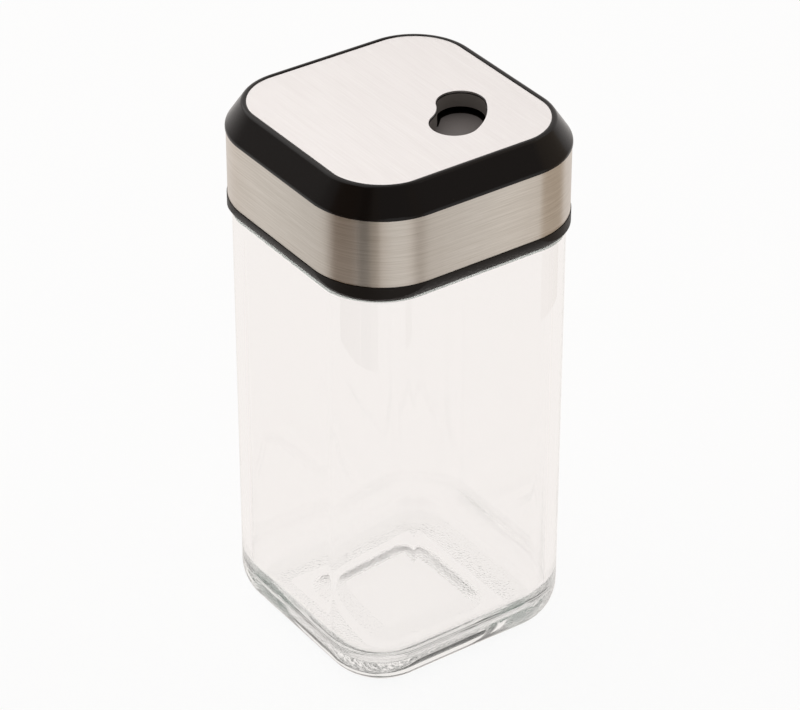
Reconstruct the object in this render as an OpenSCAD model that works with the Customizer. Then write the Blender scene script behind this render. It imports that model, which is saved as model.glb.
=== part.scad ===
// Square glass sugar dispenser: a screw lid in brushed steel and black plastic,
// with a curved pouring window closed from below by a small gravity flap.
// Millimetres, +Z up, origin at the middle of the ring that the jar stands on.

/* [Glass jar] */
// Width of the square jar body
jar_w = 71; // [68:0.5:76]
// Corner radius of the jar body, seen from above
jar_corner_r = 16.8; // [14:0.2:20]
// Height of the glass shoulder above the table
shoulder_z = 123.5; // [90:0.5:160]
// Thickness of the side walls
wall_t = 3; // [2.4:0.1:4]
// Thickness of the base over the ring that it stands on
base_t = 7; // [5:0.5:10]
// Radius of the round heel between side and base
heel_r = 12; // [8:0.5:12]
// Thickness of the shoulder
shoulder_t = 2.2; // [1.8:0.1:4]
// Radius of the shoulder's outer edge
shoulder_r = 1.5; // [1:0.25:3]
// Width of the flat ring that the jar stands on
ring_w = 6.5; // [3:0.25:8]
// Depth of the pushed-up panel in the middle of the base
push_up = 1.6; // [1:0.2:3]
// Width of the slope round that panel
push_slope = 4; // [2:0.25:6]
// Outside diameter of the round neck
neck_d = 57; // [52:0.5:58]
// Thickness of the neck
neck_t = 3.5; // [2.5:0.25:4.5]
// Height of the neck over the shoulder
neck_h = 19.8; // [16.5:0.2:24]

/* [Lid shell] */
// How far the lid stands out past the jar on each side
overhang = 2; // [1:0.25:3]
// Corner radius of the lid, seen from above
lid_corner_r = 20.9; // [18:0.1:23]
// Gap between the lid's lower edge and the shoulder
skirt_gap = 0.3; // [0.2:0.05:1]
// Thickness of the sealing ring
seal_t = 2; // [1.2:0.1:3]
// Thickness of the deck that closes the jar's mouth
deck_t = 2; // [1.4:0.1:3]
// Thickness of the plastic skirts
skirt_t = 1.6; // [1.2:0.1:2]
// Room between neck and cap for the screw thread
thread_room = 1.6; // [1:0.1:2]
// Height of the steel band
band_h = 18.9; // [14:0.1:19.5]
// Thickness of the steel band
band_t = 0.5; // [0.3:0.1:0.7]
// How far the band's face lies behind the two mouldings
band_inset = 0.2; // [0:0.05:0.4]
// Height of the black frame above the band
frame_h = 7.4; // [6.8:0.1:9]
// How far the frame's sloping side leans inwards
frame_lean = 4.4; // [3:0.1:6]
// Height of the upright edge under the frame's slope
frame_land = 0.8; // [0.3:0.1:1.2]
// Wall thickness of the frame's sloping side
frame_t = 1.8; // [1.4:0.1:2.2]
// Width of the narrow rim round the steel plate
rim_w = 1.4; // [1:0.1:2]
// Rounding of the frame's outer edges
frame_round = 0.4; // [0.2:0.05:0.6]
// Drop from the rim to the face of the steel plate
plate_drop = 0.2; // [0:0.05:0.5]
// Thickness of the steel plate
plate_t = 0.6; // [0.4:0.1:1]
// Corner radius of the steel plate
plate_corner_r = 14.2; // [12:0.1:16]
// Thickness of the adhesive sheet under the plate
tape_t = 0.15; // [0.1:0.05:0.3]
// Thickness of the frame's floor under the plate
web_t = 1.6; // [1.2:0.1:2]
// Number of stiffening ribs between the lid's two skirts
rib_count = 16; // [8:4:24]
// Thickness of each stiffening rib
rib_t = 1.2; // [0.8:0.1:1.6]
// Width of each snap hook between frame and deck
hook_w = 6; // [4:0.5:8]
// Thickness of each snap hook's leg
hook_t = 1.5; // [1.2:0.1:1.8]
// How far each snap hook's catch reaches under the deck
hook_catch = 0.8; // [0.5:0.1:1]

/* [Pouring window and flap] */
// Radius of the window's middle line about the lid's centre
slot_r = 16; // [14:0.25:17]
// Half the width of the window
slot_half = 6.4; // [5:0.1:6.6]
// Angle between the centres of the window's two round ends
slot_sweep = 38.8; // [30:0.2:50]
// Compass direction of the window's middle, from +X
slot_dir = 45; // [0:5:90]
// Depth of the chute's lower edge under the face of the plate
chute_depth = 4.5; // [3.8:0.1:4.6]
// Wall thickness of the chute
chute_t = 1.2; // [0.8:0.1:1.6]
// Width of the ledge that the flap rests on
ledge = 0.95; // [0.6:0.05:1.3]
// Thickness of the flap
flap_t = 1; // [0.8:0.1:1.2]
// Gap round the flap inside the chute
flap_gap = 0.5; // [0.3:0.05:0.8]
// Distance of the hinge pin from the lid's centre
hinge_r = 8; // [7.4:0.1:8.2]
// Diameter of the hinge pin
pin_d = 1.4; // [1:0.1:1.5]
// Diameter of the flap's hinge barrel
barrel_d = 2.4; // [2.2:0.1:2.4]
// Length of the flap's hinge barrel
barrel_w = 6; // [4:0.5:7]
// Thickness of each ear that holds the hinge pin
ear_t = 2; // [1.2:0.1:2.4]

/* [Fits] */
// Radial clearance of the pin in the flap
pin_running = 0.05; // [0.02:0.01:0.1]
// Radial clearance of the pin in its ears
pin_seat = 0.01; // [0.01:0.01:0.03]
// Clearance between two parts that are pushed together
push_fit = 0.1; // [0.05:0.01:0.2]
// Clearance between parts that move past each other
move_gap = 0.15; // [0.1:0.01:0.2]

/* [Hidden] */
$fn = 96;

// How far a cutting body runs past what it cuts
cut = 1;

// Straight steps in the arc of a rounded corner
arc_steps = 4;

// Glass: half widths, the centres of the corner arcs, and the levels
jar_half = jar_w / 2;
jar_c = jar_half - jar_corner_r;
ring_half = jar_half - heel_r;
panel_half = ring_half - ring_w;
panel_inner_r = 2;
panel_r = push_slope + panel_inner_r;
panel_c = panel_half - panel_r;
inner_heel_r = heel_r - wall_t;
neck_r = neck_d / 2;
bore_r = neck_r - neck_t;
rim_z = shoulder_z + neck_h;
neck_fillet = 1.6;
rim_round = 0.9;
inner_shoulder_r = 2;

// Lid: everything is stacked up from the neck's rim
deck_z = rim_z + seal_t;
split_z = deck_z + deck_t;
top_z = split_z + frame_h;
plate_z = top_z - plate_drop;
tape_z = plate_z - plate_t;
web_z = tape_z - tape_t;
web_low_z = web_z - web_t;
lid_half = jar_half + overhang;
lid_w = 2 * lid_half;
lid_c = lid_half - lid_corner_r;
band_half = lid_half - band_inset;
skirt_half = band_half - band_t - push_fit;
skirt_in_half = skirt_half - skirt_t;
lip_z = shoulder_z + skirt_gap;
lip_top_z = split_z - band_h;
lip_half = jar_half - 0.3;
lip_c = jar_c + 0.5;
lip_h = lip_top_z - lip_z;
lip_lean = lid_half - lip_half;
lip_r = (lip_h * lip_h + lip_lean * lip_lean) / (2 * lip_lean);
cap_in_r = neck_r + thread_room;
cap_r = cap_in_r + skirt_t;
cap_rise = 2;
rib_rise = 1;
cap_low_z = lip_top_z + cap_rise;
rib_low_z = cap_low_z + rib_rise;
plate_half = lid_half - frame_lean - rim_w;
plate_c = plate_half - plate_corner_r;
slope = frame_lean / (frame_h - frame_land);
frame_in_half = lid_half - frame_t;
frame_in_head = frame_in_half - slope * (web_low_z - split_z - frame_land);
tape_margin = 1;
seal_in_r = bore_r + 0.6;
seal_out_r = cap_in_r - push_fit;

// Snap hooks: four legs of the frame that pass through the deck at its corners
hook_r = (cap_r + sqrt(2) * lid_c + (skirt_in_half - lid_c)) / 2;
hook_lead_in = 2.6;
hook_reach = hook_catch * hook_lead_in + push_fit;
hook_room = 2 * push_fit;

// Chute and flap
chute_z = plate_z - chute_depth;
chute_lip = 0.15;
chute_half = slot_half - chute_lip;
flap_half = chute_half - flap_gap;
pour_half = flap_half - ledge;
barrel_r = barrel_d / 2;
pin_r = pin_d / 2;
pin_z = split_z + barrel_r + move_gap;
flap_root = hinge_r + barrel_r + flap_gap;
ear_x = barrel_w / 2 + move_gap;
pin_len = 2 * (ear_x + ear_t - push_fit);

module rounded_square(half, c) {
    square([2 * half, 2 * c], center = true);
    square([2 * c, 2 * half], center = true);
    for (x = [-c, c], y = [-c, c]) translate([x, y]) circle(half - c);
}

module square_prism(half, c, low, high) {
    translate([0, 0, low]) linear_extrude(high - low) rounded_square(half, c);
}

// Carries a side profile round a square. The profile is drawn outwards from the centre of
// the corner arcs, which lie at c.
module carried(c) {
    for (turn = [0:90:270]) rotate([0, 0, turn]) translate([c, c, 0]) {
        rotate_extrude(angle = 90) children();
        rotate([90, 0, 0]) linear_extrude(2 * c) children();
    }
}

// The square core that fills the middle of a carried profile
module core(c, low, high) {
    translate([-c, -c, low]) cube([2 * c, 2 * c, high - low]);
}

// A rounded-square block with round lower and upper edges
module soft_block(half, c, low, high, low_r, high_r) {
    carried(c) block_profile(half - c, low, high, low_r, high_r);
    core(c, low, high);
}

module block_profile(w, low, high, low_r, high_r) {
    intersection() {
        union() {
            translate([0, low + low_r]) square([w, high - low - low_r - high_r]);
            translate([0, low]) square([w - low_r, high - low - high_r]);
            translate([0, low + low_r]) square([w - high_r, high - low - low_r]);
            translate([w - low_r, low + low_r]) circle(low_r);
            translate([w - high_r, high - high_r]) circle(high_r);
        }
        translate([0, low]) square([w, high - low]);
    }
}

// The window's outline, a slot bent round the lid's centre, as a prism
module window_prism(half, low, high) {
    rotate([0, 0, slot_dir - slot_sweep / 2]) rotate_extrude(angle = slot_sweep)
        translate([slot_r - half, low]) square([2 * half, high - low]);
    for (side = [-0.5, 0.5]) rotate([0, 0, slot_dir + side * slot_sweep])
        translate([slot_r, 0, low]) cylinder(r = half, h = high - low);
}

// A vector turned by an angle
function turned(v, angle) =
    [v.x * cos(angle) - v.y * sin(angle), v.x * sin(angle) + v.y * cos(angle)];

// The points that round the corner at p, between its neighbours a and b
function rounded(a, p, b, r) =
    let (
        u = (a - p) / norm(a - p),
        v = (b - p) / norm(b - p),
        bend = acos(u * v) / 2,
        centre = p + (u + v) / norm(u + v) * r / sin(bend),
        first = p + u * r / tan(bend) - centre,
        sweep = (2 * bend - 180) * sign(cross(u, v))
    )
    [for (i = [0:arc_steps]) centre + turned(first, sweep * i / arc_steps)];

// Turns a shape drawn along +X to the window's own direction
module to_window() {
    rotate([0, 0, slot_dir]) children();
}

// A round bar along the hinge axis, centred on the pin
module hinge_bar(r, length) {
    translate([hinge_r, 0, pin_z]) rotate([90, 0, 0]) cylinder(r = r, h = length, center = true);
}

module neck_profile() {
    difference() {
        union() {
            translate([bore_r, shoulder_z - cut]) square([neck_t, neck_h + cut - rim_round]);
            translate([bore_r + rim_round, shoulder_z]) square([neck_t - 2 * rim_round, neck_h]);
            translate([bore_r + rim_round, rim_z - rim_round]) circle(rim_round);
            translate([neck_r - rim_round, rim_z - rim_round]) circle(rim_round);
            translate([neck_r - cut, shoulder_z - cut]) square(neck_fillet + cut);
        }
        translate([neck_r + neck_fillet, shoulder_z + neck_fillet]) circle(neck_fillet);
    }
}

module glass_jar() {
    color([0.88, 0.92, 0.92, 0.35]) difference() {
        union() {
            soft_block(jar_half, jar_c, 0, shoulder_z, heel_r, shoulder_r);
            rotate_extrude() neck_profile();
        }
        soft_block(jar_half - wall_t, jar_c, base_t, shoulder_z - shoulder_t, inner_heel_r,
            inner_shoulder_r);
        translate([0, 0, base_t + heel_r]) cylinder(r = bore_r, h = rim_z);
        push_up_panel();
    }
}

// The middle of the base, pushed up inside a gentle slope
module push_up_panel() {
    carried(panel_c) polygon([
        [0, -cut], [panel_r, -cut], [panel_r, 0], [panel_inner_r, push_up], [0, push_up]
    ]);
    core(panel_c, -cut, push_up);
}

module mouth_seal() {
    color([0.86, 0.86, 0.84]) rotate_extrude()
        translate([seal_in_r, rim_z]) square([seal_out_r - seal_in_r, seal_t]);
}

// The black lower moulding: deck, square skirt with its visible lip, and threaded cap
module lid_base() {
    color([0.1, 0.09, 0.09]) difference() {
        union() {
            square_prism(skirt_half, lid_c, deck_z, split_z);
            difference() {
                square_prism(skirt_half, lid_c, lip_top_z, split_z);
                square_prism(skirt_in_half, lid_c, lip_top_z - cut, split_z + cut);
            }
            lip();
            skirt_ribs();
            translate([0, 0, cap_low_z]) difference() {
                cylinder(r = cap_r, h = split_z - cap_low_z);
                translate([0, 0, -cut]) cylinder(r = cap_in_r, h = deck_z - cap_low_z + cut);
            }
            to_window() hinge_ears();
        }
        window_prism(pour_half, deck_z - cut, split_z + cut);
        to_window() hinge_bar(pin_r + pin_seat, pin_len + 2 * cut);
        hook_slots();
    }
}

// Rounded lower lip that shows between the band and the glass
module lip() {
    difference() {
        intersection() {
            union() {
                carried(lip_c) lip_profile();
                core(lip_c, lip_z, lip_top_z);
            }
            square_prism(lid_half, lid_c, lip_z, lip_top_z);
        }
        square_prism(lip_half - skirt_t, lip_c, lip_z - cut, lip_top_z - skirt_t);
        square_prism(skirt_in_half, lid_c, lip_top_z - skirt_t - cut, lip_top_z + cut);
    }
}

module lip_profile() {
    arc_x = lid_half - lip_r - lip_c;
    translate([0, lip_z]) square([arc_x, lip_h]);
    intersection() {
        translate([arc_x, lip_top_z]) circle(lip_r);
        translate([arc_x, lip_z]) square([lip_r, lip_h]);
    }
}

// Thin ribs between the round cap and the square skirt
module skirt_ribs() {
    intersection() {
        for (i = [0:rib_count - 1]) rotate([0, 0, (i + 0.5) * 360 / rib_count])
            translate([cap_in_r + skirt_t / 2, -rib_t / 2, rib_low_z])
                cube([lid_half, rib_t, deck_z - rib_low_z + cut]);
        square_prism(skirt_in_half + skirt_t / 2, lid_c, lip_top_z, split_z);
    }
}

// The two ears that carry the hinge pin, on top of the deck
module hinge_ears() {
    for (side = [-1, 1]) translate([0, side * (ear_x + ear_t / 2), 0]) {
        hinge_bar(barrel_r, ear_t);
        translate([hinge_r - barrel_r, -ear_t / 2, split_z - cut])
            cube([2 * barrel_r, ear_t, pin_z - split_z + cut]);
    }
}

module hook_slots() {
    for (turn = [45:90:315]) rotate([0, 0, turn])
        translate([hook_r - hook_t / 2 - hook_room, -hook_w / 2 - hook_room, deck_z - cut])
            cube([hook_t + hook_catch + 2 * hook_room, hook_w + 2 * hook_room, deck_t + 2 * cut]);
}

module steel_band() {
    color([0.75, 0.71, 0.66]) difference() {
        square_prism(band_half, lid_c, lip_top_z, split_z);
        square_prism(band_half - band_t, lid_c, lip_top_z - cut, split_z + cut);
    }
}

// The black upper moulding: sloping frame, floor under the plate, chute and hooks
module top_frame() {
    color([0.07, 0.06, 0.06]) difference() {
        union() {
            difference() {
                frame_block(lid_half, lid_half - frame_lean, top_z, frame_round);
                frame_block(frame_in_half, frame_in_head, web_low_z, frame_round);
            }
            window_prism(chute_half + chute_t, chute_z, web_z);
            snap_hooks();
        }
        square_prism(plate_half + push_fit, plate_c, web_z, top_z + cut);
        window_prism(chute_half, chute_z - cut, top_z + cut);
    }
}

// A rounded-square block with an upright foot and sides that lean inwards, and with its
// two outer edges rounded
module frame_block(foot_half, head_half, high, edge_r) {
    foot = [foot_half - lid_c, split_z];
    land = [foot_half - lid_c, split_z + frame_land];
    head = [head_half - lid_c, high];
    middle = [0, high];
    carried(lid_c) polygon(concat(
        [[0, split_z], foot], rounded(foot, land, head, edge_r),
        rounded(land, head, middle, edge_r), [middle]
    ));
    core(lid_c, split_z, high);
}

// Four legs with catches, which hold the frame down on the deck
module snap_hooks() {
    for (turn = [45:90:315]) rotate([0, 0, turn]) translate([hook_r, hook_w / 2, 0])
        rotate([90, 0, 0]) linear_extrude(hook_w) polygon([
            [-hook_t / 2, web_low_z + web_t / 2],
            [-hook_t / 2, deck_z - hook_reach],
            [hook_t / 2, deck_z - hook_reach],
            [hook_t / 2 + hook_catch, deck_z - push_fit],
            [hook_t / 2, deck_z - push_fit],
            [hook_t / 2, web_low_z + web_t / 2]
        ]);
}

module plate_adhesive() {
    color([0.8, 0.8, 0.78]) difference() {
        square_prism(plate_half - tape_margin, plate_c, web_z, tape_z);
        window_prism(slot_half + tape_margin, web_z - cut, tape_z + cut);
    }
}

module top_plate() {
    color([0.92, 0.9, 0.89]) difference() {
        square_prism(plate_half, plate_c, tape_z, plate_z);
        window_prism(slot_half, tape_z - cut, plate_z + cut);
    }
}

// The flap fills the foot of the chute and swings up and out through the window
module pour_flap() {
    color([0.24, 0.23, 0.23]) difference() {
        union() {
            intersection() {
                window_prism(flap_half, split_z, split_z + flap_t);
                to_window() translate([flap_root, -lid_half, split_z - cut])
                    cube([lid_half, lid_w, flap_t + 2 * cut]);
            }
            to_window() {
                hinge_bar(barrel_r, barrel_w);
                translate([hinge_r, -barrel_w / 2, split_z])
                    cube([slot_r - hinge_r, barrel_w, flap_t]);
            }
        }
        to_window() hinge_bar(pin_r + pin_running, barrel_w + 2 * cut);
    }
}

module flap_pin() {
    color([0.7, 0.7, 0.7]) to_window() hinge_bar(pin_r, pin_len);
}

glass_jar();
mouth_seal();
lid_base();
steel_band();
top_frame();
plate_adhesive();
top_plate();
pour_flap();
flap_pin();
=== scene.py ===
import math

import bmesh
import bpy
from mathutils import Matrix, Vector


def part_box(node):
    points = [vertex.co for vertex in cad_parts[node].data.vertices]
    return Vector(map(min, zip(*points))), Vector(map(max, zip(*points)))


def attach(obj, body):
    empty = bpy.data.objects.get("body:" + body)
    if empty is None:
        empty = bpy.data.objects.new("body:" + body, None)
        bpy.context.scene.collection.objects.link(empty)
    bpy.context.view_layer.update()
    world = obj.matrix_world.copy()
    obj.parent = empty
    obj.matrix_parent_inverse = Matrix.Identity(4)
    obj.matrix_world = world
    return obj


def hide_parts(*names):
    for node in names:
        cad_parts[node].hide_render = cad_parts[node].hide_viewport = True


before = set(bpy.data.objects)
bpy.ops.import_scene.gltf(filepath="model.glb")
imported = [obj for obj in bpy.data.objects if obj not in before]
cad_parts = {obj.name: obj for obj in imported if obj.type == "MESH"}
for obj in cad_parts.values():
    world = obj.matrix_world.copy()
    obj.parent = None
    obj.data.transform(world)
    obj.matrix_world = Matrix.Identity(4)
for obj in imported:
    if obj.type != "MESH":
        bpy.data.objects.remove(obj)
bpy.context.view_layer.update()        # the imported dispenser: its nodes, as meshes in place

scene = bpy.context.scene
mm = 0.001           # in metres
tiny = 1e-6          # metres, two places nearer than this are the same


def nodeBox(name):
    # A solid's lowest and highest corners in mm
    return [[round(value / mm, 3) for value in corner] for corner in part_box(name)]


# Materials

def linear(hexColour):
    # The linear colour that shaders take, from an sRGB one
    channels = [int(hexColour[i:i + 2], 16) / 255 for i in (1, 3, 5)]
    toned = [c / 12.92 if c <= 0.04045 else ((c + 0.055) / 1.055) ** 2.4 for c in channels]
    return (*toned, 1.0)


def addNode(tree, kind, values=None, links=None, **settings):
    # A shader node with its settings, the values of its sockets and what is plugged into them
    node = tree.nodes.new(kind)
    for name, setting in settings.items():
        setattr(node, name, setting)
    for name, value in (values or {}).items():
        node.inputs[name].default_value = value
    for name, source in (links or {}).items():
        tree.links.new(source, node.inputs[name])
    return node


def startMaterial(name, shown):
    material = bpy.data.materials.new(name)
    material.use_nodes = True
    material.diffuse_color = linear(shown)
    material.node_tree.nodes.clear()
    return material, material.node_tree


def endMaterial(tree, surface):
    addNode(tree, "ShaderNodeOutputMaterial", links={"Surface": surface})


glassLook = {
    "colour": "#FEFEFE", "ior": 1.52,
    "inside": "#C6D6D0", "perMetre": 2.0,        # light that goes far in the glass turns grey-green
    "shadowColour": "#EDF2F0",   # what the glass leaves of the light that goes through to the floor
    "waveSize": 9.0, "waveDepth": 0.012,         # mm, slow waves that a mould leaves in a wall
    "grainSize": 0.6, "grainDepth": 0.2,         # mm, the grain of the foot and round its panel
}


def pressedGlass(name, size, depth):
    # Pressed soda-lime glass: clear and glossy, and its skin copies the mould. Light on its way
    # to the floor goes straight through with a slight tint, so that the shadow stays soft.
    material, tree = startMaterial(name, glassLook["colour"])
    place = addNode(tree, "ShaderNodeTexCoord")
    waves = addNode(tree, "ShaderNodeTexNoise", {"Scale": 1 / (size * mm), "Detail": 1.0},
                    {"Vector": place.outputs["Object"]})
    bump = addNode(tree, "ShaderNodeBump", {"Strength": 1.0, "Distance": depth * mm},
                   {"Height": waves.outputs["Fac"]})
    glass = addNode(tree, "ShaderNodeBsdfPrincipled", {
        "Base Color": linear(glassLook["colour"]), "Roughness": 0.0, "IOR": glassLook["ior"],
        "Transmission Weight": 1.0}, {"Normal": bump.outputs["Normal"]})
    clear = addNode(tree, "ShaderNodeBsdfTransparent",
                    {"Color": linear(glassLook["shadowColour"])})
    path = addNode(tree, "ShaderNodeLightPath")
    mixed = addNode(tree, "ShaderNodeMixShader", links={
        0: path.outputs["Is Shadow Ray"], 1: glass.outputs["BSDF"], 2: clear.outputs["BSDF"]})
    tint = addNode(tree, "ShaderNodeVolumeAbsorption", {
        "Color": linear(glassLook["inside"]), "Density": glassLook["perMetre"]})
    addNode(tree, "ShaderNodeOutputMaterial", links={"Surface": mixed.outputs["Shader"],
                                                     "Volume": tint.outputs["Volume"]})
    return material


noiseLow, noiseHigh = 0.3, 0.7       # nearly all of a noise texture lies between these


def unevenSkin(tree, noise, look, depth):
    # Roughness and relief that follow one noise, as links for a shader
    roughness = addNode(tree, "ShaderNodeMapRange", {
        "From Min": noiseLow, "From Max": noiseHigh,
        "To Min": look["smooth"], "To Max": look["rough"]}, {"Value": noise.outputs["Fac"]})
    bump = addNode(tree, "ShaderNodeBump", {"Strength": 1.0, "Distance": depth * mm},
                   {"Height": noise.outputs["Fac"]})
    return {"Roughness": roughness.outputs["Result"], "Normal": bump.outputs["Normal"]}


bandLook = {
    "light": "#D9D2C9", "dark": "#BDB5AA",
    "grainLength": 14.0,         # mm, along the brushing
    "grainWidth": 0.24,          # mm; the real scratches of about 0.05 mm are too fine to show
    "scratchDepth": 0.0006,      # mm
    "smooth": 0.3, "rough": 0.4,
    "anisotropic": 0.9,
}

plateLook = {
    "light": "#EFEDEC", "dark": "#E7E4E3",
    "grainLength": 16.0,
    "grainWidth": 0.22,          # mm, drawn as coarse as on the band
    "scratchDepth": 0.0006,
    "smooth": 0.3, "rough": 0.4,
    "anisotropic": 0.8,
}

wireLook = {
    "light": "#C4C2BE", "dark": "#9E9C98",
    "grainWidth": 0.15,
    "scratchDepth": 0.0008,
    "smooth": 0.2, "rough": 0.32,
    "anisotropic": 0.0,
}


def finishedSteel(name, look, grain, mapName=""):
    # Stainless steel under fine scratches, as dense along X, Y and Z as the grain says. They
    # smear reflections across them, and a piece's own map says which way they run.
    material, tree = startMaterial(name, look["light"])
    place = addNode(tree, "ShaderNodeTexCoord")
    stretch = addNode(tree, "ShaderNodeMapping", {"Scale": grain},
                      {"Vector": place.outputs["Object"]})
    scratches = addNode(tree, "ShaderNodeTexNoise",
                        {"Scale": 1.0, "Detail": 4.0, "Roughness": 0.65},
                        {"Vector": stretch.outputs["Vector"]})
    shade = addNode(tree, "ShaderNodeValToRGB", links={"Fac": scratches.outputs["Fac"]})
    dark, light = shade.color_ramp.elements
    dark.position, light.position = noiseLow, noiseHigh
    dark.color, light.color = linear(look["dark"]), linear(look["light"])
    skin = unevenSkin(tree, scratches, look, look["scratchDepth"])
    steel = addNode(tree, "ShaderNodeBsdfPrincipled", {
        "Metallic": 1.0, "Anisotropic": look["anisotropic"], "Anisotropic Rotation": 0.25},
        {"Base Color": shade.outputs["Color"], **skin})
    if mapName:
        along = addNode(tree, "ShaderNodeTangent", direction_type="UV_MAP", uv_map=mapName)
        tree.links.new(along.outputs["Tangent"], steel.inputs["Tangent"])
    endMaterial(tree, steel.outputs["BSDF"])
    return material


def bandSteel():
    # Brushed on a belt: fine scratches round the lid
    along = 1 / (bandLook["grainLength"] * mm)
    across = 1 / (bandLook["grainWidth"] * mm)
    return finishedSteel("brushedStainlessBand", bandLook, (along, along, across), "brushing")


def plateSteel():
    # Brushed on a belt: fine scratches along X
    along = 1 / (plateLook["grainLength"] * mm)
    across = 1 / (plateLook["grainWidth"] * mm)
    return finishedSteel("brushedStainlessPlate", plateLook, (along, across, along), "brushing")


def drawnWire():
    # Drawn through a die: smooth, with an even grain, as its lines are too fine to show
    across = 1 / (wireLook["grainWidth"] * mm)
    return finishedSteel("drawnStainlessWire", wireLook, (across, across, across))


def mouldedPlastic(name, look):
    # Injection moulded plastic: an even colour under a skin that copies the mould's own finish
    material, tree = startMaterial(name, look["colour"])
    place = addNode(tree, "ShaderNodeTexCoord")
    grain = addNode(tree, "ShaderNodeTexNoise",
                    {"Scale": 1 / (look["skinSize"] * mm), "Detail": 2.0},
                    {"Vector": place.outputs["Object"]})
    plastic = addNode(tree, "ShaderNodeBsdfPrincipled", {
        "Base Color": linear(look["colour"]), "IOR": look["ior"],
        "Specular IOR Level": look["shine"]}, unevenSkin(tree, grain, look, look["skinDepth"]))
    endMaterial(tree, plastic.outputs["BSDF"])
    return material


# Sizes are in mm: the width of the skin's grain, and its height
frameLook = {"colour": "#120E0C", "ior": 1.52, "shine": 0.2, "smooth": 0.16, "rough": 0.24,
             "skinSize": 0.5, "skinDepth": 0.0006}
# The chute is black plastic drawn mid grey: its colour is a painted highlight of light falling on
# its walls
chuteHighlightLook = {"colour": "#66615D", "ior": 1.52, "shine": 0.5, "smooth": 0.3, "rough": 0.42,
             "skinSize": 0.35, "skinDepth": 0.002}
baseLook = {"colour": "#17120E", "ior": 1.5, "shine": 0.14, "smooth": 0.4, "rough": 0.5,
            "skinSize": 0.5, "skinDepth": 0.001}
flapLook = {"colour": "#6E6967", "ior": 1.49, "shine": 0.5, "smooth": 0.38, "rough": 0.5,
            "skinSize": 0.35, "skinDepth": 0.002}
sealLook = {"colour": "#D9D8D3", "ior": 1.41, "shine": 0.4, "smooth": 0.4, "rough": 0.55,
            "skinSize": 0.6, "skinDepth": 0.002}
tapeLook = {"colour": "#CFCEC9", "ior": 1.45, "shine": 0.3, "smooth": 0.5, "rough": 0.7,
            "skinSize": 0.4, "skinDepth": 0.003}

print("materials: pressed glass, brushed steel, moulded plastics")
glassMaterial = pressedGlass("pressedSodaLimeGlass", glassLook["waveSize"], glassLook["waveDepth"])
grainMaterial = pressedGlass("grainedSodaLimeGlass", glassLook["grainSize"],
                             glassLook["grainDepth"])
bandMaterial = bandSteel()
plateMaterial = plateSteel()
wireMaterial = drawnWire()
frameMaterial = mouldedPlastic("polishedBlackAbs", frameLook)
# Black plastic with a painted highlight: the chute walls' mid grey stands in for light on them
chuteHighlightMaterial = mouldedPlastic("blackAbsPaintedHighlight", chuteHighlightLook)
baseMaterial = mouldedPlastic("mouldedBlackPolypropylene", baseLook)
flapMaterial = mouldedPlastic("satinGreyAbs", flapLook)
sealMaterial = mouldedPlastic("mouldedSilicone", sealLook)
tapeMaterial = mouldedPlastic("adhesiveSheet", tapeLook)


# Shared shaping

roundSteps = 6       # segments in a small rounded edge
wideRound = 3.0      # mm, from here on a rounding takes twice as many segments
cornerSteps = 24     # segments round one corner of the square
sideSteps = 8        # stretches in half a side of the square
weld = 0.002         # mm, points nearer than this are joined
finalWeld = 0.001    # mm, the same on a finished piece
levelRoom = 0.005    # mm, points this near to a height are on it
flatNormal = 0.998   # a face is flat when its normal has more than this along Z
sharpAngle = 32      # degrees, a sharper edge stays crisp
mapSize = 100.0      # mm of the piece in one unit of its map


def vertsOf(items):
    return [item for item in items if isinstance(item, bmesh.types.BMVert)]


def edgesOf(items):
    return [item for item in items if isinstance(item, bmesh.types.BMEdge)]


def drawOutline(bm, points, closed=False, steps=roundSteps):
    # Points are (reach from the axis, height, rounding) in mm, in the plane of X and Z
    verts = [bm.verts.new((x * mm, 0, z * mm)) for x, z, _ in points]
    pairs = list(zip(verts, verts[1:]))
    if closed:
        pairs.append((verts[-1], verts[0]))
    for pair in pairs:
        bm.edges.new(pair)
    for vert, (_, _, rounding) in zip(verts, points):
        if rounding:
            bmesh.ops.bevel(bm, geom=[vert], offset=rounding * mm, offset_type="OFFSET",
                            segments=steps if rounding < wideRound else 2 * steps, profile=0.5,
                            affect="VERTICES", material=-1, clamp_overlap=False)
    return bm.edges[:]


def moveCopy(bm, edges, step):
    # Extrudes the edges by a step and gives the new ones
    made = bmesh.ops.extrude_edge_only(bm, edges=edges)["geom"]
    verts = vertsOf(made)
    bmesh.ops.translate(bm, verts=verts, vec=step)
    return [edge for edge in edgesOf(made) if all(vert in verts for vert in edge.verts)]


def carryRoundSquare(bm, edges, centre):
    # Carries an outline round a square whose corner arcs have their centres at (centre, centre)
    c = centre * mm
    for _ in range(sideSteps):
        edges = moveCopy(bm, edges, (0, c / sideSteps, 0))
    verts = list({vert for edge in edges for vert in edge.verts})
    turned = bmesh.ops.spin(bm, geom=edges + verts, cent=(c, c, 0), axis=(0, 0, 1),
                            angle=math.radians(90), steps=cornerSteps)["geom_last"]
    edges = edgesOf(turned)
    for _ in range(sideSteps):
        edges = moveCopy(bm, edges, (-c / sideSteps, 0, 0))
    quarter = bm.verts[:] + bm.edges[:] + bm.faces[:]
    bmesh.ops.spin(bm, geom=quarter, cent=(0, 0, 0), axis=(0, 0, 1),
                   angle=math.radians(270), steps=3, use_duplicate=True)
    bmesh.ops.remove_doubles(bm, verts=bm.verts[:], dist=weld * mm)


def openEdges(bm, height):
    # The open edges at a height in mm
    return [edge for edge in bm.edges if len(edge.link_faces) < 2
            and all(abs(vert.co.z - height * mm) < levelRoom * mm for vert in edge.verts)]


def fillFlat(bm, height):
    # Closes the flat area between the open loops at one height
    bmesh.ops.triangle_fill(bm, use_beauty=True, edges=openEdges(bm, height))


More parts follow.
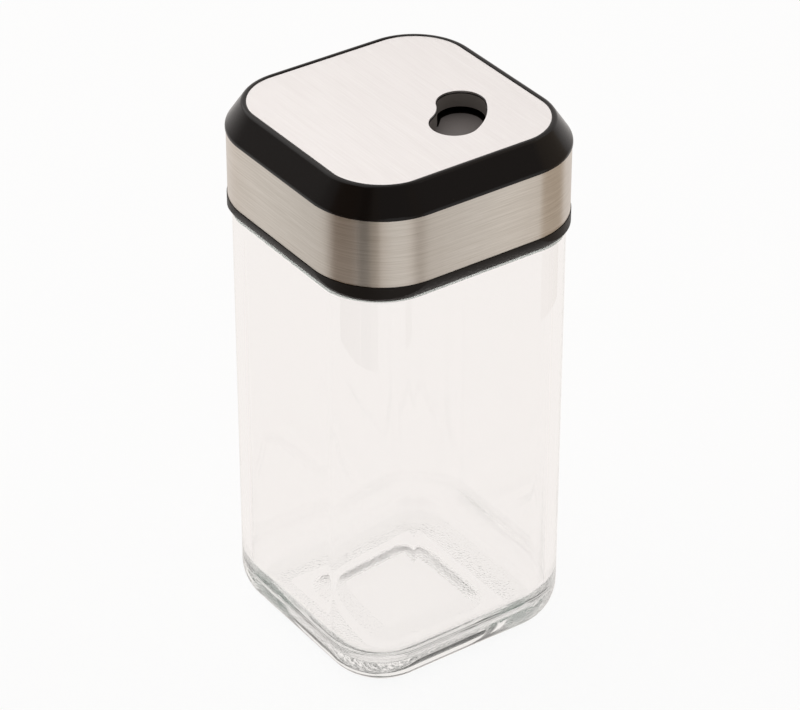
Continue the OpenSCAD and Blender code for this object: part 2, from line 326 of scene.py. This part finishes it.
def ringOn(bm, edges, radius, height):
    # Extrudes a loop onto a circle about the axis
    made = bmesh.ops.extrude_edge_only(bm, edges=edges)["geom"]
    for vert in vertsOf(made):
        vert.co.xy = vert.co.xy.normalized() * radius * mm
        vert.co.z = height * mm
    return [edge for edge in edgesOf(made)
            if all(abs(vert.co.z - height * mm) < tiny and
                   abs(vert.co.xy.length - radius * mm) < tiny for vert in edge.verts)]


def addMesh(bm, other):
    # Puts another bmesh into this one
    mesh = bpy.data.meshes.new("part")
    other.to_mesh(mesh)
    other.free()
    bm.from_mesh(mesh)
    bpy.data.meshes.remove(mesh)


def mapFlat(bm):
    # The piece's own map, square to X and Y
    layer = bm.loops.layers.uv.new("brushing")
    for loop in (loop for face in bm.faces for loop in face.loops):
        loop[layer].uv = loop.vert.co.xy / (mapSize * mm)


def mapRound(bm):
    # The piece's own map, rolled round Z
    layer = bm.loops.layers.uv.new("brushing")
    for face in bm.faces:
        middle = face.calc_center_median().xy
        start = math.atan2(middle.y, middle.x)
        for loop in face.loops:
            at = loop.vert.co
            turn = start - middle.angle_signed(at.xy, 0)
            loop[layer].uv = (turn / math.tau, (at.z + at.xy.length) / (mapSize * mm))


def placeMesh(name, bm, materials):
    # An object at the origin with this mesh
    mesh = bpy.data.meshes.new(name)
    bm.to_mesh(mesh)
    bm.free()
    for material in materials:
        mesh.materials.append(material)
    placed = bpy.data.objects.new(name, mesh)
    scene.collection.objects.link(placed)
    return placed


def finishPiece(name, bm, materials, body, nodes=()):
    # Joins doubles, turns faces outwards, keeps sharp edges crisp, and puts the piece on its body
    bmesh.ops.remove_doubles(bm, verts=bm.verts[:], dist=finalWeld * mm)
    bmesh.ops.recalc_face_normals(bm, faces=bm.faces[:])
    for face in bm.faces:
        face.smooth = True
    for edge in bm.edges:
        edge.smooth = edge.is_manifold and edge.calc_face_angle(0) < math.radians(sharpAngle)
    piece = placeMesh(name, bm, materials)
    weighted = piece.modifiers.new("flatFaces", "WEIGHTED_NORMAL")
    weighted.keep_sharp = True
    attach(piece, body)
    if nodes:
        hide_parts(*nodes)
    print("piece:", name, len(piece.data.polygons), "faces")


# Glass jar

jarBox = nodeBox("glass_jar")
jar = {
    "half": jarBox[1][0], "corner": 18.7,        # half width, and the centre of the corner arcs
    "heel": 12.0, "footEnd": 20.5,               # the heel's rounding, and the foot ring's inner end
    "shoulder": 123.5, "shoulderRound": 0.6,
    "shoulderWidth": 2.6,                        # of its square border, round the disc
    "wall": 3.0, "base": 7.0,
    "ceiling": 122.2, "ceilingRound": 0.4,
    "ceilingEnd": 27.3,                          # a flat fill goes on from here to the bore
    "panel": 17.0, "panelEdge": 1.0, "panelCorner": 11.0, "panelRound": 0.9,
    "panelSlope": 4.0, "pushUp": 1.6,            # how far in and how far up its slope goes
    "grainTop": 2.0,                             # the skin is grained below this height
    "neck": 28.5, "bore": 25.0, "fillet": 1.6, "boreRound": 1.2,
    "rim": jarBox[1][2], "rimRound": 0.9,
    "neckSteps": 54, "boreSteps": 6,             # rings up the wall: many where the thread is
}

thread = {
    "starts": 4, "lead": 20.0, "turn": 100.0,    # each rib runs through so many degrees
    "fade": 8.0,                                 # degrees in which a rib's end runs out
    "height": 1.0, "width": 1.9,                 # of a rib, radially and along the axis
    "neckStart": 133.9, "capStart": 131.7,       # the cap's ribs lie under the neck's
}


def arcPoints(radius, fromAngle, toAngle):
    # Points on an arc about its centre, as (reach, height)
    step = (toAngle - fromAngle) / roundSteps
    angles = [math.radians(fromAngle + step * i) for i in range(roundSteps + 1)]
    return [(radius * math.cos(a), radius * math.sin(a)) for a in angles]


def neckOutline():
    # From the shoulder over the rim and down the bore to the ceiling, as (radius, height)
    top = jar["rim"] - jar["rimRound"]
    foot = jar["shoulder"] + jar["fillet"]
    outer = jar["neck"] + jar["fillet"]
    points = [(outer + x, foot + z) for x, z in arcPoints(jar["fillet"], 270, 180)]
    steps = jar["neckSteps"]
    points += [(jar["neck"], foot + (top - foot) * i / steps) for i in range(1, steps)]
    edge = jar["rimRound"]
    points += [(jar["neck"] - edge + x, top + z) for x, z in arcPoints(edge, 0, 90)]
    points += [(jar["bore"] + edge + x, top + z) for x, z in arcPoints(edge, 90, 180)]
    flare = jar["boreRound"]
    low = jar["ceiling"] + flare
    steps = jar["boreSteps"]
    points += [(jar["bore"], low + (top - low) * i / steps) for i in range(steps - 1, 0, -1)]
    points += [(jar["bore"] + flare + x, low + z) for x, z in arcPoints(flare, 180, 270)]
    return points


def threadRise(vert):
    # How far a rib stands out at a point: ribs climb one lead a turn, and fade in and out
    angle = math.degrees(math.atan2(vert.co.y, vert.co.x)) % 360
    rise = 0.0
    for i in range(thread["starts"]):
        along = (angle - i * 360 / thread["starts"]) % 360
        fade = min(1, along / thread["fade"], (thread["turn"] - along) / thread["fade"])
        centre = thread["neckStart"] + thread["lead"] * along / 360
        off = abs(vert.co.z / mm - centre) / (thread["width"] / 2)
        if fade > 0 and off < 1:
            rise = max(rise, thread["height"] * fade * (0.5 + 0.5 * math.cos(math.pi * off)))
    return rise * mm


def addJarWalls(bm):
    # The outer face, from the foot round the heel to the shoulder's border
    edges = drawOutline(bm, [
        (jar["footEnd"], 0, 0), (jar["half"], 0, jar["heel"]),
        (jar["half"], jar["shoulder"], jar["shoulderRound"]),
        (jar["half"] - jar["shoulderWidth"], jar["shoulder"], 0)])
    carryRoundSquare(bm, edges, jar["corner"])
    for face in bm.faces:
        face.material_index = 1 if face.calc_center_median().z < jar["grainTop"] * mm else 0


def addJarPanel(bm):
    # The pushed-up panel under the base, with its slope in the grained skin
    panel = bmesh.new()
    edges = drawOutline(panel, [
        (jar["panel"] + jar["panelEdge"], 0, 0), (jar["panel"], 0, jar["panelRound"]),
        (jar["panel"] - jar["panelSlope"], jar["pushUp"], jar["panelRound"]),
        (jar["panelCorner"], jar["pushUp"], 0)], steps=5)
    carryRoundSquare(panel, edges, jar["panelCorner"])
    for face in panel.faces:
        face.material_index = 1 if abs(face.normal.z) < flatNormal else 0
    bmesh.ops.contextual_create(panel, geom=openEdges(panel, jar["pushUp"]))
    addMesh(bm, panel)
    fillFlat(bm, 0)


def addJarNeck(bm):
    # The shoulder's disc and the round neck, whose wall the thread's ribs push out
    loop = openEdges(bm, jar["shoulder"])
    for radius, height in neckOutline():
        loop = ringOn(bm, loop, radius, height)
    for vert in bm.verts:
        if abs(vert.co.xy.length - jar["neck"] * mm) < tiny:
            vert.co.xy *= 1 + threadRise(vert) / vert.co.xy.length


def addJarInside(bm):
    # The space for the sugar, up to the bore
    cavity = bmesh.new()
    inside = jar["half"] - jar["wall"]
    edges = drawOutline(cavity, [
        (jar["ceilingEnd"], jar["ceiling"], 0), (inside, jar["ceiling"], jar["ceilingRound"]),
        (inside, jar["base"], jar["heel"] - jar["wall"]), (jar["corner"], jar["base"], 0)])
    carryRoundSquare(cavity, edges, jar["corner"])
    bmesh.ops.contextual_create(cavity, geom=openEdges(cavity, jar["base"]))
    addMesh(bm, cavity)
    fillFlat(bm, jar["ceiling"])


def makeJar():
    bm = bmesh.new()
    addJarWalls(bm)
    addJarPanel(bm)
    addJarNeck(bm)
    addJarInside(bm)
    finishPiece("glassJar", bm, [glassMaterial, grainMaterial], "jar",
                ["glass_jar"])


makeJar()


# Steel band

bandBox = nodeBox("steel_band")
band = {
    "half": bandBox[1][0], "low": bandBox[0][2], "high": bandBox[1][2],
    "thick": 0.5, "corner": 16.6, "edge": 0.12,
}


def makeBand():
    bm = bmesh.new()
    inner = band["half"] - band["thick"]
    edges = drawOutline(bm, [
        (band["half"], band["low"], band["edge"]), (band["half"], band["high"], band["edge"]),
        (inner, band["high"], 0), (inner, band["low"], 0)], closed=True, steps=3)
    carryRoundSquare(bm, edges, band["corner"])
    mapRound(bm)
    finishPiece("steelBand", bm, [bandMaterial], "lid", ["steel_band"])


makeBand()


# Black top frame with the chute

frameBox = nodeBox("top_frame")
topFrame = {
    "half": frameBox[1][0], "corner": 16.6,
    "low": band["high"], "top": frameBox[1][2],
    "land": 0.8, "lean": 4.4,                    # the upright foot's height, and the side's lean
    "rim": 1.4, "plateRoom": 0.1,                # the flat rim, and the play round the plate
    "recess": 153.75, "under": 152.15,           # top and underside of the web that holds the plate
    "wall": 1.8, "webEdge": 30.0,                # flat fills close the web from webEdge inwards
    "footRound": 0.15, "landRound": 0.35, "rimRound": 0.6, "lipRound": 0.45, "underRound": 0.3,
}

window = {
    "radius": 16.0, "half": 6.4,                 # of the slot's middle line, and half its width
    "sweep": 38.8, "direction": 45.0,            # degrees between its end centres, and of its middle
    "chuteHalf": 6.25, "chuteWall": 1.2, "chuteLow": 150.0,
    "arcSteps": 20, "endSteps": 24,
}


def drawWindow(bm, half, height):
    # The slot bent round the lid's centre, as a closed loop of edges
    before = set(bm.edges)
    first = math.radians(window["direction"] - window["sweep"] / 2)
    sweep = math.radians(window["sweep"])
    z = height * mm

    def onCircle(radius, angle):
        return Vector((radius * mm * math.cos(angle), radius * mm * math.sin(angle), z))

    vert = bm.verts.new(onCircle(window["radius"] + half, first))
    turns = [((0, 0, z), sweep, window["arcSteps"]),
             (onCircle(window["radius"], first + sweep), math.pi, window["endSteps"]),
             ((0, 0, z), -sweep, window["arcSteps"]),
             (onCircle(window["radius"], first), math.pi, window["endSteps"])]
    for centre, angle, steps in turns:
        last = bmesh.ops.spin(bm, geom=[vert], cent=centre, axis=(0, 0, 1), angle=angle,
                              steps=steps)["geom_last"]
        vert = vertsOf(last)[0]
    made = [edge for edge in bm.edges if edge not in before]
    bmesh.ops.remove_doubles(bm, verts=list({v for e in made for v in e.verts}), dist=weld * mm)
    return [edge for edge in bm.edges if edge not in before]


hook = {
    "reach": 36.84, "wide": 6.0, "thick": 1.5, "catch": 0.8,
    "low": frameBox[0][2], "catchTop": 145.2, "top": 152.6, "edge": 0.15,
}


def addHooks(bm):
    # Four legs that snap into the deck, one at each corner
    side, top = hook["thick"] / 2, hook["catchTop"]
    outline = [(-side, hook["low"]), (side, hook["low"]), (side + hook["catch"], top),
               (side, top), (side, hook["top"]), (-side, hook["top"])]
    for i in range(4):
        leg = bmesh.new()
        verts = [leg.verts.new(((hook["reach"] + x) * mm, -hook["wide"] / 2 * mm, z * mm))
                 for x, z in outline]
        face = leg.faces.new(verts)
        made = bmesh.ops.extrude_face_region(leg, geom=[face])["geom"]
        bmesh.ops.translate(leg, verts=vertsOf(made), vec=(0, hook["wide"] * mm, 0))
        bmesh.ops.bevel(leg, geom=leg.edges[:], offset=hook["edge"] * mm, offset_type="OFFSET",
                        segments=2, profile=0.5, affect="EDGES", material=-1)
        bmesh.ops.rotate(leg, cent=(0, 0, 0), verts=leg.verts[:],
                         matrix=Matrix.Rotation(math.radians(45 + 90 * i), 3, "Z"))
        addMesh(bm, leg)


def addFrameShell(bm):
    # The leaning sides, the rim and the edges of the recess
    f = topFrame
    slope = f["lean"] / (f["top"] - f["low"] - f["land"])
    innerFoot = f["half"] - f["wall"]
    innerHead = innerFoot - slope * (f["under"] - f["low"] - f["land"])
    rimHalf = f["half"] - f["lean"]
    recessHalf = rimHalf - f["rim"] + f["plateRoom"]
    edges = drawOutline(bm, [
        (f["webEdge"], f["under"], 0), (innerHead, f["under"], f["underRound"]),
        (innerFoot, f["low"] + f["land"], 0), (innerFoot, f["low"], 0),
        (f["half"], f["low"], f["footRound"]), (f["half"], f["low"] + f["land"], f["landRound"]),
        (rimHalf, f["top"], f["rimRound"]), (recessHalf, f["top"], f["lipRound"]),
        (recessHalf, f["recess"], 0), (f["webEdge"], f["recess"], 0)], steps=4)
    carryRoundSquare(bm, edges, f["corner"])


def addChute(bm):
    # The web round the window, and under it the chute, whose upright walls are drawn mid grey: a
    # painted highlight on the black plastic
    high, under, low = topFrame["recess"], topFrame["under"], window["chuteLow"]
    inner = drawWindow(bm, window["chuteHalf"], high)
    moveCopy(bm, inner, (0, 0, (low - high) * mm))
    outer = drawWindow(bm, window["chuteHalf"] + window["chuteWall"], under)
    moveCopy(bm, outer, (0, 0, (low - under) * mm))
    for height in (low, high, under):
        fillFlat(bm, height)
    for face in bm.faces:
        at = face.calc_center_median() / mm
        inChute = at.xy.length < topFrame["webEdge"] and low < at.z < high
        # Upright chute walls take the mid grey of the painted highlight, the rest the black frame
        face.material_index = 1 if inChute and abs(face.normal.z) < flatNormal else 0


def makeTopFrame():
    bm = bmesh.new()
    addFrameShell(bm)
    addChute(bm)
    addHooks(bm)
    finishPiece("topFrame", bm, [frameMaterial, chuteHighlightMaterial], "lid",
                ["top_frame"])


makeTopFrame()


# Steel plate

plateBox = nodeBox("top_plate")
plate = {
    "half": plateBox[1][0], "cornerRound": 14.2, "high": plateBox[1][2],
    "thick": 0.6, "edge": 0.08,
    "rimAngle": 60,              # degrees, the sheet's cut edges are sharper than this
}


def makePlate():
    bm = bmesh.new()
    half, z = plate["half"] * mm, plate["high"] * mm
    signs = ((-1, -1), (1, -1), (1, 1), (-1, 1))
    corners = [bm.verts.new((x * half, y * half, z)) for x, y in signs]
    for i, corner in enumerate(corners):
        bm.edges.new((corner, corners[(i + 1) % 4]))
    bmesh.ops.bevel(bm, geom=corners, offset=plate["cornerRound"] * mm, offset_type="OFFSET",
                    segments=cornerSteps, profile=0.5, affect="VERTICES", material=-1,
                    clamp_overlap=False)
    drawWindow(bm, window["half"], plate["high"])
    bmesh.ops.triangle_fill(bm, use_beauty=True, edges=bm.edges[:])
    made = bmesh.ops.extrude_face_region(bm, geom=bm.faces[:])["geom"]
    bmesh.ops.translate(bm, verts=vertsOf(made), vec=(0, 0, -plate["thick"] * mm))
    rimAngle = math.radians(plate["rimAngle"])
    rims = [edge for edge in bm.edges if edge.is_manifold and edge.calc_face_angle(0) > rimAngle]
    bmesh.ops.bevel(bm, geom=rims, offset=plate["edge"] * mm, offset_type="OFFSET", segments=2,
                    profile=0.5, affect="EDGES", material=-1)
    mapFlat(bm)
    finishPiece("steelPlate", bm, [plateMaterial], "lid", ["top_plate"])


makePlate()


# Thread ribs inside the cap

capRib = {
    "outer": 30.3, "inner": 28.9,                # radii of its foot, in the skirt, and of its crest
    "foot": 1.9, "crest": 0.7, "edge": 0.25,     # widths along the axis, and the crest's rounding
    "steps": 40,
}


def makeCapThread():
    bm = bmesh.new()
    foot, crest = capRib["foot"] / 2, capRib["crest"] / 2
    low = thread["capStart"]
    rise = thread["lead"] * thread["turn"] / 360 / capRib["steps"]
    for i in range(thread["starts"]):
        rib = bmesh.new()
        drawOutline(rib, [
            (capRib["outer"], low - foot, 0), (capRib["inner"], low - crest, capRib["edge"]),
            (capRib["inner"], low + crest, capRib["edge"]), (capRib["outer"], low + foot, 0)],
            closed=True, steps=2)
        start = bmesh.ops.contextual_create(rib, geom=rib.edges[:])["faces"]
        bmesh.ops.spin(rib, geom=start, cent=(0, 0, 0), axis=(0, 0, 1), dvec=(0, 0, rise * mm),
                       angle=math.radians(thread["turn"]), steps=capRib["steps"])
        bmesh.ops.rotate(rib, cent=(0, 0, 0), verts=rib.verts[:],
                         matrix=Matrix.Rotation(math.radians(360 / thread["starts"] * i), 3, "Z"))
        addMesh(bm, rib)
    finishPiece("capThread", bm, [baseMaterial], "lid")


makeCapThread()


# Pieces whose solids already have the right shape

def dressNode(name, material):
    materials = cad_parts[name].data.materials
    materials.clear()
    materials.append(material)
    print("node:", name, "in", material.name)


for name, material in (("lid_base", baseMaterial), ("pour_flap", flapMaterial),
                       ("mouth_seal", sealMaterial), ("plate_adhesive", tapeMaterial),
                       ("flap_pin", wireMaterial)):
    dressNode(name, material)


# Floor, light and camera, in metres and degrees

studio = {
    "floorSize": 6.0, "floorDrop": 0.00005,
    "floorColour": "#E9E8E6", "floorWhite": 0.9,    # share of plain white in what the camera sees
    "paperTone": "#F9F4F1",      # the paper as it shows through glass and in metal
    "skyLevel": 0.72,
    "backdrop": 145.0,           # compass direction of the white backdrop, from +X
    "roomTones": [(0.08, 0.3), (0.36, 0.36), (0.64, 0.45), (0.86, 1.0)],  # from camera to backdrop
    "bounces": 160,              # light goes many times to and fro in thick glass
    "cards": [
        # name, direction of its middle from +X, width in degrees, lowest and highest point, colour
        ("leftCard", -120.0, 42.0, 0.03, 0.13, "#FFFFFF"),
        ("sideCard", -81.5, 33.0, 0, 0.45, "#6B5744"),
        ("cameraCard", -56.5, 15.0, 0, 0.45, "#332C24"),
        ("roundCard", -44.0, 10.0, 0, 0.45, "#9C9388"),
        ("brightCard", -20.0, 22.0, 0.04, 0.2, "#FFFFFF"),
        ("dimCard", 7.0, 10.0, 0, 0.45, "#A39A90"),
        ("rightCard", 26.0, 24.0, 0.04, 0.17, "#FFFFFF"),
        ("edgeCard", 59.0, 38.0, 0, 0.45, "#BFB09F"),
    ],
    "cardReach": 0.2, "cardSteps": 8,
    "lamps": [
        # name, place, size, watts
        ("keySoftbox", (-0.55, -0.25, 0.95), 1.2, 4.0),
        ("fillSoftbox", (0.3, 0.8, 0.85), 0.6, 2.0),
    ],
    "lampTarget": (0, 0, 0.08),
}


def paperWhite(tree, path):
    # Plain white to the camera, and the paper's own tone in metal and through glass
    mixed = addNode(tree, "ShaderNodeMix", {6: linear(studio["paperTone"]), 7: linear("#FFFFFF")},
                    {0: path.outputs["Is Camera Ray"]}, data_type="RGBA")
    return mixed.outputs[2]


def paperFloor():
    # Matt paper sweep: it shows almost white, and its diffuse part keeps the shadow
    material, tree = startMaterial("paperSweep", studio["floorColour"])
    material.cycles.emission_sampling = "NONE"
    path = addNode(tree, "ShaderNodeLightPath")
    seen = addNode(tree, "ShaderNodeMath", links={0: path.outputs["Is Camera Ray"],
                                                  1: path.outputs["Is Glossy Ray"]},
                   operation="MAXIMUM")
    paper = addNode(tree, "ShaderNodeBsdfDiffuse", {"Color": linear(studio["floorColour"])})
    white = addNode(tree, "ShaderNodeEmission", {"Strength": 1.0},
                    {"Color": paperWhite(tree, path)})
    share = addNode(tree, "ShaderNodeMath", {1: studio["floorWhite"]}, {0: seen.outputs[0]},
                    operation="MULTIPLY")
    mixed = addNode(tree, "ShaderNodeMixShader", links={
        0: share.outputs[0], 1: paper.outputs["BSDF"], 2: white.outputs["Emission"]})
    endMaterial(tree, mixed.outputs["Shader"])
    return material


def makeFloor():
    bm = bmesh.new()
    bmesh.ops.create_grid(bm, x_segments=1, y_segments=1, size=studio["floorSize"] / 2)
    bmesh.ops.translate(bm, verts=bm.verts[:], vec=(0, 0, -studio["floorDrop"]))
    floor = placeMesh("floor", bm, [paperFloor()])


def roomTone(tree):
    # Reflections show a white backdrop behind the object and a dim room round the camera
    turn = math.radians(studio["backdrop"])
    place = addNode(tree, "ShaderNodeTexCoord")
    facing = addNode(tree, "ShaderNodeVectorMath", {1: (math.cos(turn), math.sin(turn), 0)},
                     {0: place.outputs["Generated"]}, operation="DOT_PRODUCT")
    share = addNode(tree, "ShaderNodeMapRange", {"From Min": -1.0},
                    {"Value": facing.outputs["Value"]})
    tones = addNode(tree, "ShaderNodeValToRGB", links={"Fac": share.outputs["Result"]})
    stops = tones.color_ramp.elements
    while len(stops) < len(studio["roomTones"]):
        stops.new(0.5)
    for stop, (position, tone) in zip(stops, studio["roomTones"]):
        stop.position = position
        stop.color = (tone, tone, tone, 1)
    return tones.outputs["Color"]


def makeSky():
    # Paper to the camera and through glass, the room in reflections, and an even light otherwise
    world = bpy.data.worlds.new("studioSky")
    scene.world = world
    world.use_nodes = True
    world.cycles.sampling_method = "NONE"
    tree = world.node_tree
    tree.nodes.clear()
    path = addNode(tree, "ShaderNodeLightPath")
    level = addNode(tree, "ShaderNodeMix", {2: studio["skyLevel"]},
                    {0: path.outputs["Is Glossy Ray"], 3: roomTone(tree)})
    for ray in ("Is Transmission Ray", "Is Camera Ray"):
        level = addNode(tree, "ShaderNodeMix", {3: 1.0},
                        {0: path.outputs[ray], 2: level.outputs[0]})
    sky = addNode(tree, "ShaderNodeBackground", links={"Color": paperWhite(tree, path),
                                                       "Strength": level.outputs[0]})
    addNode(tree, "ShaderNodeOutputWorld", links={"Surface": sky.outputs["Background"]})


def cardBoard(name, colour):
    # A board that shows its own colour whatever the light
    material, tree = startMaterial(name, colour)
    material.cycles.emission_sampling = "NONE"
    board = addNode(tree, "ShaderNodeEmission", {"Color": linear(colour), "Strength": 1.0})
    endMaterial(tree, board.outputs["Emission"])
    return material


def makeCards():
    # Boards round the front of the object, which only reflections show
    for name, direction, width, low, high, colour in studio["cards"]:
        bm = bmesh.new()
        edge = bm.edges.new([bm.verts.new((studio["cardReach"], 0, z)) for z in (low, high)])
        bmesh.ops.spin(bm, geom=[edge], cent=(0, 0, 0), axis=(0, 0, 1),
                       angle=math.radians(width), steps=studio["cardSteps"])
        bmesh.ops.rotate(bm, cent=(0, 0, 0), verts=bm.verts[:],
                         matrix=Matrix.Rotation(math.radians(direction - width / 2), 3, "Z"))
        card = placeMesh(name, bm, [cardBoard(name + "Board", colour)])
        card.visible_camera = card.visible_diffuse = card.visible_shadow = False
        card.visible_transmission = False


def aim(thing, target):
    thing.rotation_mode = "QUATERNION"
    thing.rotation_quaternion = (target - thing.location).to_track_quat("-Z", "Y")


def makeLamps():
    # Softboxes that light the object and show in steel and plastic, but not through the glass
    for name, place, size, watts in studio["lamps"]:
        data = bpy.data.lights.new(name, "AREA")
        data.shape = "SQUARE"
        data.size = size
        data.energy = watts
        lamp = bpy.data.objects.new(name, data)
        lamp.location = place
        lamp.visible_transmission = False
        scene.collection.objects.link(lamp)
        aim(lamp, Vector(studio["lampTarget"]))


# The camera stands where the photograph's stood, worked out from the object's own edges
cameraSetting = {
    "lens": 158.03, "sensor": 36.0,              # mm
    "azimuth": 54.996, "elevation": 33.084, "distance": 0.8943,
    "target": (0.0200965, -0.0135534, 0.0961132),
    "nearest": 0.05,                             # it sees nothing nearer than this
}


def makeCamera():
    data = bpy.data.cameras.new("photoCamera")
    data.lens = cameraSetting["lens"]
    data.sensor_width = cameraSetting["sensor"]
    data.clip_start = cameraSetting["nearest"]
    camera = bpy.data.objects.new("photoCamera", data)
    azimuth = math.radians(cameraSetting["azimuth"])
    elevation = math.radians(cameraSetting["elevation"])
    back = Vector((math.sin(azimuth) * math.cos(elevation),
                   -math.cos(azimuth) * math.cos(elevation), math.sin(elevation)))
    target = Vector(cameraSetting["target"])
    camera.location = target + back * cameraSetting["distance"]
    scene.collection.objects.link(camera)
    aim(camera, target)
    scene.camera = camera


print("studio: floor, sky, cards, lamps and camera")
makeFloor()
makeSky()
makeCards()
makeLamps()
makeCamera()
scene.view_settings.view_transform = "Standard"
scene.cycles.max_bounces = scene.cycles.glossy_bounces = studio["bounces"]
scene.cycles.transmission_bounces = studio["bounces"]
